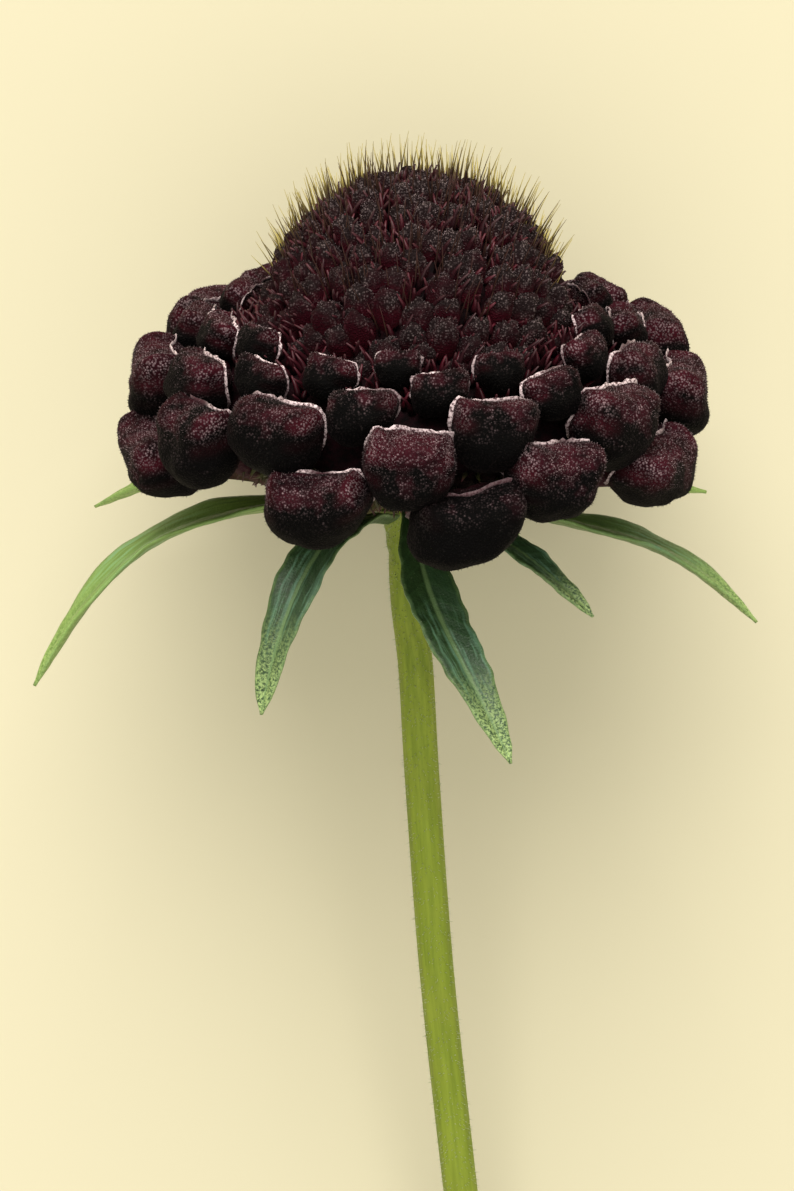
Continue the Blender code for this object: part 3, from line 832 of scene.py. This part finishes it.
def mark_values(mesh, name):
    """A number mark of a mesh as an array."""
    values = np.empty(len(mesh.vertices), dtype=np.float32)
    mesh.attributes[name].data.foreach_get("value", values)
    return values


def hairs(name, piece, skin, cover, **shape):
    """Hairs of three sides over a finished piece, none close to the surface that the flower lies on."""
    clear = np.array([point.co.z > FLOOR_CLEAR for point in piece.data.vertices], dtype=float)
    return plant(name, piece, clear * cover, skin, Sides=3, Steps=1, Tip=0.0, **shape)


def down_on(name, piece, cover, density, length, seed):
    """Down over a piece of the head."""
    return hairs(name, piece, down_skin.material, cover, Density=density, Length=length, Width=0.038 * MM,
                 Evenness=0.5, Lean=0.10, Ruffle=0.25, Bend=0.3, Seed=seed)


outer_lift, inner_lift, knob_lift = [mark_values(p.data, "lift") for p in (outer_buds, inner_buds, knobs)]
down = [down_on("down_outer", outer_buds, np.clip(outer_lift, 0.25, 1), 4.0e7, 0.11 * MM, 21),
        down_on("down_inner", inner_buds, np.clip(inner_lift, 0.25, 1), 4.0e7, 0.09 * MM, 22),
        down_on("down_lips", lips, 1.0, 6.0e7, 0.12 * MM, 23),
        down_on("down_knobs", knobs, np.clip(knob_lift, 0, 1) ** 1.5, 3.6e7, 0.09 * MM, 24)]

# %% [markdown]
# ## Bracts
# Under the head nine narrow leaves arch out and down. Each is a blade that is folded a little along its
# midrib, widest in its middle, with side veins that run forward and a margin that is not quite even. The
# blade follows a curve from foot to tip, worked out from how steeply it leaves and arrives, the same as
# in the frame. Its upper and lower faces are two grids, joined along their rims, so it is closed.

# %% Blades
# azimuths of foot and tip, the tip's distance and height in mm, slopes at foot and tip, width in mm
BRACTS = (
    (-108, -111, 17.6, -5.5, -4, 34, 2.0),
    (-78, -74, 19.9, -10.9, -4, 62, 2.3),
    (-30, -35, 13.3, -10.4, -20, 80, 2.6),
    (0, 20, 13.8, -12.2, 34, 58, 2.7),
    (40, 48, 11.9, -6.3, 12, 36, 1.8),
    (78, 80, 17.5, -8.4, 12, 48, 2.0),
    (112, 110, 15.9, -4.4, 3, 18, 1.9),
    (148, 153, 11.4, -9.0, 18, 60, 2.2),
    (-156, -160, 11.6, -8.2, 14, 58, 2.2),
)
# how much painted light passing through each bract brightens it to yellow green
BRACT_LIGHT = (0.85, 0.75, 0.05, 0.05, 0.05, 0.40, 0.90, 0.45, 0.35)
BRACT_FOOT = np.array((3.75, -2.65)) * MM
BRACT_PULL = 0.46
BRACT_ROOT = 1.1 * MM
BRACT_OUTLINE = ((0.0, 0.50), (0.12, 0.78), (0.30, 1.00), (0.50, 0.97), (0.70, 0.82), (0.85, 0.60),
                 (0.95, 0.33), (1.0, 0.02))
BRACT_TIP_WIDTH = 0.12 * MM
BRACT_KEEL = 0.16
BLADE_HALF = 0.19 * MM
BLADE_EDGE = 0.05 * MM
BLADE_STEPS = 84
BLADE_ACROSS = 12
MIDRIB_GROOVE = 0.09 * MM
MIDRIB_RIDGE = 0.10 * MM
MIDRIB_WIDTH = 0.34 * MM
VEIN_HEIGHT = 0.018 * MM
VEIN_COUNT = 26
VEIN_SLANT = 2.6


def blade(number, row, skin):
    """One bract as a closed mesh, with a map that runs along and across it."""
    azimuth, tip_azimuth, tip_out, tip_height, leave, arrive, width = row
    tip = np.array((tip_out, tip_height)) * MM
    pull = np.linalg.norm(tip - BRACT_FOOT) * BRACT_PULL
    leave, arrive = math.radians(leave), math.radians(arrive)
    first = BRACT_FOOT + np.array((math.cos(leave), -math.sin(leave))) * pull
    second = tip - np.array((math.cos(arrive), -math.sin(arrive))) * pull
    across = np.linspace(-1, 1, BLADE_ACROSS + 1)
    shares = np.arange(BLADE_STEPS + 1) / BLADE_STEPS
    upper, lower = [], []
    for t in shares:
        u = 1 - t
        flat = BRACT_FOOT * u ** 3 + first * 3 * u * u * t + second * 3 * u * t * t + tip * t ** 3
        run = (first - BRACT_FOOT) * 3 * u * u + (second - first) * 6 * u * t + (tip - second) * 3 * t * t
        run /= np.linalg.norm(run)
        if t == 0:
            flat = flat - run * BRACT_ROOT
        turn = math.radians(azimuth + (tip_azimuth - azimuth) * t)
        side = np.array((math.cos(turn), math.sin(turn), 0.0))
        above = spot(-run[1], turn, run[0])
        wide = max(width * MM * np.interp(t, *zip(*BRACT_OUTLINE)), BRACT_TIP_WIDTH)
        ragged = 1 + 0.030 * math.sin(t * 41 + number) + 0.022 * math.sin(t * 67 + number * 3)
        fold = BRACT_KEEL * wide * (np.abs(across) ** 1.4 - 0.5)
        wave = 0.05 * wide * np.sin(t * 17 + number * 2 + np.sign(across) * 1.3) * across ** 2
        veins = np.cos((t * VEIN_COUNT - np.abs(across) * VEIN_SLANT) * math.pi)
        veins = VEIN_HEIGHT * veins * (1 - across ** 8)
        rib = np.exp(-(across * wide / MIDRIB_WIDTH) ** 2) * min(1, wide / MM)
        half = BLADE_EDGE + (BLADE_HALF - BLADE_EDGE) * (1 - across ** 4) * min(1, wide / (1.2 * MM))
        base = spot(flat[0], turn, flat[1]) + side * (across * wide / 2 * ragged)[:, None]
        upper.append(base + above * (fold + wave + half + veins - MIDRIB_GROOVE * rib)[:, None])
        lower.append(base + above * (fold + wave - half + veins * 0.6 - MIDRIB_RIDGE * rib)[:, None])
    row_size = BLADE_ACROSS + 1
    points = np.concatenate(upper + lower)
    under = row_size * (BLADE_STEPS + 1)
    faces = []
    for left in range(0, under - row_size, row_size):
        for a in range(left, left + BLADE_ACROSS):
            faces.append((a, a + 1, a + row_size + 1, a + row_size))
            faces.append((under + a, under + a + row_size, under + a + row_size + 1, under + a + 1))
        right = left + BLADE_ACROSS
        faces.append((left, left + row_size, under + left + row_size, under + left))
        faces.append((right, under + right, under + right + row_size, right + row_size))
    for j in range(BLADE_ACROSS):
        last = BLADE_STEPS * row_size + j
        faces.append((j, under + j, under + j + 1, j + 1))
        faces.append((last, last + 1, under + last + 1, under + last))
    marks = {"along": np.tile(np.repeat(shares, row_size), 2), "across": np.tile(across, 2 * len(shares)),
             "pale": np.full(len(points), BRACT_LIGHT[number - 1])}
    return make_piece(f"leafy_bract_{number}", laid(points), faces, skin, marks)


# %% [markdown]
# The finish of a bract is laid up in coats: mottled green first, then side veins, light yellow green with
# painted glints at the tip, the margin, the midrib, yellow green painted as the light that passes through
# some leaves, and a painted dull shine.

# %% The bracts' finish
def bract_material():
    """Deep green with a pale midrib and faint side veins, and painted glints, through-light and shine."""
    skin = Finish("bract", 0.40, (0.02, 0.08, 0.03), Specular_IOR_Level=0.35)
    along, across = skin.mark("along"), skin.mark("across")
    away = skin.math("ABSOLUTE", across)
    mottle = skin.noise(0.55 * MM, 4.0)
    body = skin.mix(skin.range(mottle, 0.32, 0.68), (0.0060, 0.022, 0.0080), (0.019, 0.052, 0.016))
    right = skin.range(across, -0.1, 0.25, 0.0, 0.35)
    body = skin.mix(right, body, (0.020, 0.060, 0.030))
    slant = skin.math("SUBTRACT", skin.times(along, VEIN_COUNT), skin.times(away, VEIN_SLANT))
    vein = skin.math("COSINE", skin.times(slant, math.pi))
    body = skin.mix(skin.range(vein, 0.75, 1.0, 0.0, 0.16), body, (0.05, 0.13, 0.045))
    # painted glints in the light yellow green at the tip
    tip_glint = skin.range(skin.noise(0.14 * MM, 3.0, 0.8), 0.42, 0.58)
    tip_colour_and_glint = skin.times(skin.range(along, 0.66, 0.96), tip_glint)
    body = skin.mix(skin.times(tip_colour_and_glint, 0.85), body, (0.40, 0.54, 0.20))
    rim = skin.range(skin.noise(0.35 * MM), 0.3, 0.6, 0.2, 1.0)
    rim = skin.times(skin.range(away, 0.84, 0.98), rim)
    body = skin.mix(skin.times(rim, 0.50), body, (0.20, 0.32, 0.11))
    midrib = skin.range(away, 0.13, 0.05)
    body = skin.mix(skin.times(midrib, 0.75), body, (0.14, 0.23, 0.09))
    run = skin.node("ShaderNodeCombineXYZ", {0: skin.times(across, 1.6), 1: along,
                                             2: skin.mark("pale")}).outputs[0]
    streaks = skin.noise(0.22, 3.0, 0.55, run)
    # painted light passing through the leaf, as yellow green streaks
    painted_through_light = skin.times(skin.mark("pale"), skin.range(streaks, 0.35, 0.62, 0.55, 0.95))
    painted_through_light = skin.times(painted_through_light, skin.range(midrib, 0.0, 1.0, 1.0, 0.7))
    body = skin.mix(painted_through_light, body, (0.235, 0.37, 0.070))
    # painted shine: a mint patch midway along the blade
    painted_shine = skin.times(skin.range(along, 0.28, 0.48), skin.range(along, 0.85, 0.62))
    painted_shine = skin.times(painted_shine, skin.range(streaks, 0.48, 0.70, 0.0, 0.60))
    body = skin.mix(painted_shine, body, (0.15, 0.31, 0.20))
    skin.colour(body)
    skin.roughness(skin.range(skin.noise(0.2 * MM), 0.3, 0.7, 0.28, 0.52))
    skin.bump(skin.noise(0.12 * MM, 2.0), 0.04 * MM)
    return skin.material


bract_skin = bract_material()
blades = [blade(number, row, bract_skin) for number, row in enumerate(BRACTS, 1)]

# %% [markdown]
# ## The stalk
# The stalk is a thin tube with shallow ribs that swells under the head into a green receptacle. It is
# rings along a smooth curve. At the cut end a pale pith shows inside a darker ring, so that end is
# stepped and has its own colour by a mark.

# %% Stalk and receptacle
STALK_ROUTE = ((0.0, -2.2), (-0.40, -5.2), (-0.36, -8.2), (0.04, -12.0), (0.38, -18.1), (1.1, -28.3),
               (2.1, -38.3), (3.3, -49.0), (4.7, -60.0))
STALK_RADIUS = 0.865 * MM
STALK_STEPS = 150
STALK_SIDES = 40
STALK_RIBS = 8
RECEPTACLE = ((-5.4, 1.00), (-4.8, 1.10), (-4.2, 1.33), (-3.7, 1.70), (-3.3, 2.12), (-3.0, 2.55),
              (-2.75, 2.90), (-2.5, 3.04), (-2.3, 3.05), (-2.1, 2.95), (-1.93, 2.72))
CUT_RINGS = ((0.0, 0.30), (0.05, 0.62), (0.0, 0.70), (0.0, 0.92), (0.03, 1.0))  # depth in mm, and width


def stalk(skin):
    """The stalk, its receptacle and its cut end as one piece."""
    route = smooth_route([(x * MM, z * MM) for x, z in STALK_ROUTE], STALK_STEPS)[::-1]
    stations = [(x, z, STALK_RADIUS, 1.0) for x, z in route if z < (RECEPTACLE[0][0] - 0.4) * MM]
    for z, radius in RECEPTACLE:
        lean = (z - RECEPTACLE[-1][0]) / (RECEPTACLE[0][0] - RECEPTACLE[-1][0])
        stations.append((STALK_ROUTE[1][0] * lean * MM, z * MM, radius * MM, 1.6))
    last = len(stations) - 1
    angle = np.linspace(0, 2 * math.pi, STALK_SIDES, endpoint=False)

    def ring(k, share=1.0, depth=0.0):
        x, z, radius, ribs = stations[k]
        before, after = stations[max(k - 1, 0)], stations[min(k + 1, last)]
        run = np.array((after[0] - before[0], 0, after[1] - before[1]))
        run /= np.linalg.norm(run)
        side = np.cross((0, 1, 0), run)
        uneven = 1 + 0.028 * ribs * share * np.cos(STALK_RIBS * angle) + 0.01 * np.cos(3 * angle + 1)
        wide = radius * share * uneven
        return (np.array((x, 0, z)) + run * depth + (np.cos(angle) * wide)[:, None] * side
                + (np.sin(angle) * wide)[:, None] * np.cross(run, side))

    rows = [ring(0, share, depth * MM) for depth, share in CUT_RINGS] + [ring(k) for k in range(1, last + 1)]
    along = [0.0] * len(CUT_RINGS) + [k / last for k in range(1, last + 1)]
    pith = [1.0 - smooth_step(0.55, 0.95, share) for _, share in CUT_RINGS] + [0.0] * last
    marks = {"along": np.repeat(along, STALK_SIDES), "pith": np.repeat(pith, STALK_SIDES),
             "round_x": np.tile(np.cos(angle), len(rows)), "round_y": np.tile(np.sin(angle), len(rows))}
    faces = tube_faces(len(rows), STALK_SIDES)
    return make_piece("green_stalk", laid(np.concatenate(rows)), faces, skin, marks)


def stalk_material():
    """Olive green with long streaks, darker toward the head, and a pale pith at the cut."""
    skin = Finish("stalk", 0.55, (0.13, 0.20, 0.03), Specular_IOR_Level=0.25)
    length = skin.times(skin.mark("along"), 5.0)
    streak = skin.node("ShaderNodeCombineXYZ", {0: skin.mark("round_x"), 1: skin.mark("round_y"),
                                                2: length}).outputs[0]
    streaks = skin.noise(0.35, 3.0, 0.6, streak)
    body = skin.mix(skin.range(streaks, 0.32, 0.68), (0.135, 0.185, 0.010), (0.215, 0.275, 0.022))
    body = skin.mix(skin.range(skin.mark("along"), 0.80, 1.0, 0.0, 0.55), body, (0.125, 0.165, 0.014))
    body = skin.mix(skin.range(skin.noise(2.5 * MM), 0.45, 0.75, 0.0, 0.35), body, (0.24, 0.27, 0.03))
    body = skin.mix(skin.mark("pith"), body, (0.50, 0.53, 0.28))
    skin.colour(body)
    skin.bump(streaks, 0.06 * MM, 0.8)
    return skin.material


green_stalk = stalk(stalk_material())

# %% [markdown]
# The stalk, the receptacle and the margins of the bracts carry short clear hairs. The same tree plants
# them, with a lean toward the head's axis turned round, so that they point down the stalk as the real
# ones do.

# %% Hairs on the green pieces
green_down = Finish("green_down", 0.4, (0.55, 0.60, 0.38), Sheen_Weight=0.2)
green_down.colour(green_down.mix(green_down.mark("tone"), (0.62, 0.66, 0.44), (0.30, 0.36, 0.16)))


def green_hairs(name, piece, cover, density, length, seed):
    """Short clear hairs over a green piece."""
    return hairs(name, piece, green_down.material, cover, Density=density, Length=length, Width=0.03 * MM,
                 Evenness=0.35, Lean=-0.2, Ruffle=0.35, Bend=1.2, Seed=seed)


stalk_cover = 0.5 + 0.5 * (mark_values(green_stalk.data, "along") > 0.85)
stalk_hairs = green_hairs("stalk_hairs", green_stalk, stalk_cover, 2.2e7, 0.26 * MM, 31)
blade_hairs = []
for number, piece in enumerate(blades, 1):
    margin = smooth_step(0.86, 0.99, np.abs(mark_values(piece.data, "across")))
    toward_tip = smooth_step(0.6, 0.9, mark_values(piece.data, "along"))
    blade_cover = 0.08 + 0.9 * margin + 0.35 * toward_tip
    blade_hairs.append(green_hairs(f"bract_hairs_{number}", piece, blade_cover, 3.0e7, 0.20 * MM,
                                   40 + number))

# %% [markdown]
# ## Fixing the pieces to the frame
# Every piece rides on a body, and the solid that it stands for is hidden.

# %% Riding and replacing
head_pieces = (outer_buds, inner_buds, lips, knobs, pad, tubes, bristles, strands, calyx_tips, *down)
for piece in head_pieces:
    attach(piece, "root")
    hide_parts("flower_head")
for number, pair in enumerate(zip(blades, blade_hairs), 1):
    for piece in pair:
        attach(piece, "root")
        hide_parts(f"bract_{number}")
for piece in (green_stalk, stalk_hairs):
    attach(piece, "root")
    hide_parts("stem")
print(len(head_pieces) + 2 * len(blades) + 2, "pieces ride on the flower")

# %% [markdown]
# ## Surface, light and camera
# The surface is plain and pale. A broad soft light stands above and beyond the head, where the picture's
# light comes from, so it rims the tops of the buds, and a weaker one fills the near side. The camera
# looks down on the flower as the picture looks at it: twenty degrees above the plane of the head's rim.

# %% Surface
floor_mesh = bpy.data.meshes.new("pale_surface")
FLOOR_REACH = 3.0
floor_mesh.from_pydata([(-FLOOR_REACH, -FLOOR_REACH, 0), (FLOOR_REACH, -FLOOR_REACH, 0),
                        (FLOOR_REACH, FLOOR_REACH, 0), (-FLOOR_REACH, FLOOR_REACH, 0)], [], [(0, 1, 2, 3)])
floor = shown("pale_surface", floor_mesh)
floor_skin = Finish("pale_floor", 0.85, (0.61, 0.565, 0.40), Specular_IOR_Level=0.05)
floor_mesh.materials.append(floor_skin.material)

# %% Light
def soft_light(name, azimuth, elevation, distance, size, power, colour):
    """A square light that looks at the head from a direction."""
    data = bpy.data.lights.new(name, "AREA")
    data.size, data.energy, data.color = size, power, colour
    lamp = shown(name, data)
    a, e = math.radians(azimuth), math.radians(elevation)
    back = Vector((math.sin(a) * math.cos(e), -math.cos(a) * math.cos(e), math.sin(e)))
    lamp.location = Vector(REST_PLACE) + back * distance
    lamp.rotation_euler = back.to_track_quat("Z", "Y").to_euler()
    lamp.visible_camera = False


soft_light("key", 184, 40, 1.2, 0.9, 18, (1.0, 0.97, 0.92))
soft_light("top", 10, 70, 1.3, 1.8, 4.4, (1.0, 0.98, 0.95))
world = bpy.data.worlds.new("pale_room")
world.use_nodes = True
world.node_tree.nodes["Background"].inputs[0].default_value = (0.93, 0.90, 0.80, 1)
world.node_tree.nodes["Background"].inputs[1].default_value = 0.90
bpy.context.scene.world = world

# %% Camera
PICTURE = (794, 1191)
METRES_PER_PIXEL = 30 * MM / 595
RIM_MIDDLE_PIXEL = (415, 445)
CAMERA_DISTANCE = 0.4
SENSOR = 36.0


def picture_camera():
    """A camera that frames the flower as the picture does."""
    toward = Vector(laid_direction((0, -math.cos(PICTURE_RISE), math.sin(PICTURE_RISE))))
    up = Vector(laid_direction((0, math.sin(PICTURE_RISE), math.cos(PICTURE_RISE))))
    right = Vector(laid_direction((1, 0, 0)))
    aside = (PICTURE[0] / 2 - RIM_MIDDLE_PIXEL[0]) * METRES_PER_PIXEL
    below = (PICTURE[1] / 2 - RIM_MIDDLE_PIXEL[1]) * METRES_PER_PIXEL
    target = Vector(REST_PLACE) + right * aside - up * below
    data = bpy.data.cameras.new("picture_camera")
    data.sensor_width = SENSOR
    data.lens = SENSOR * CAMERA_DISTANCE / (PICTURE[1] * METRES_PER_PIXEL)
    data.clip_start = 0.01
    camera = shown("picture_camera", data)
    turn = Matrix((right, up, toward)).transposed().to_4x4()
    camera.matrix_world = Matrix.Translation(target + toward * CAMERA_DISTANCE) @ turn
    bpy.context.scene.camera = camera
    print("lens", round(data.lens, 1), "mm")


picture_camera()
bpy.context.scene.view_settings.view_transform = "Standard"

# %% The end
bpy.context.view_layer.update()
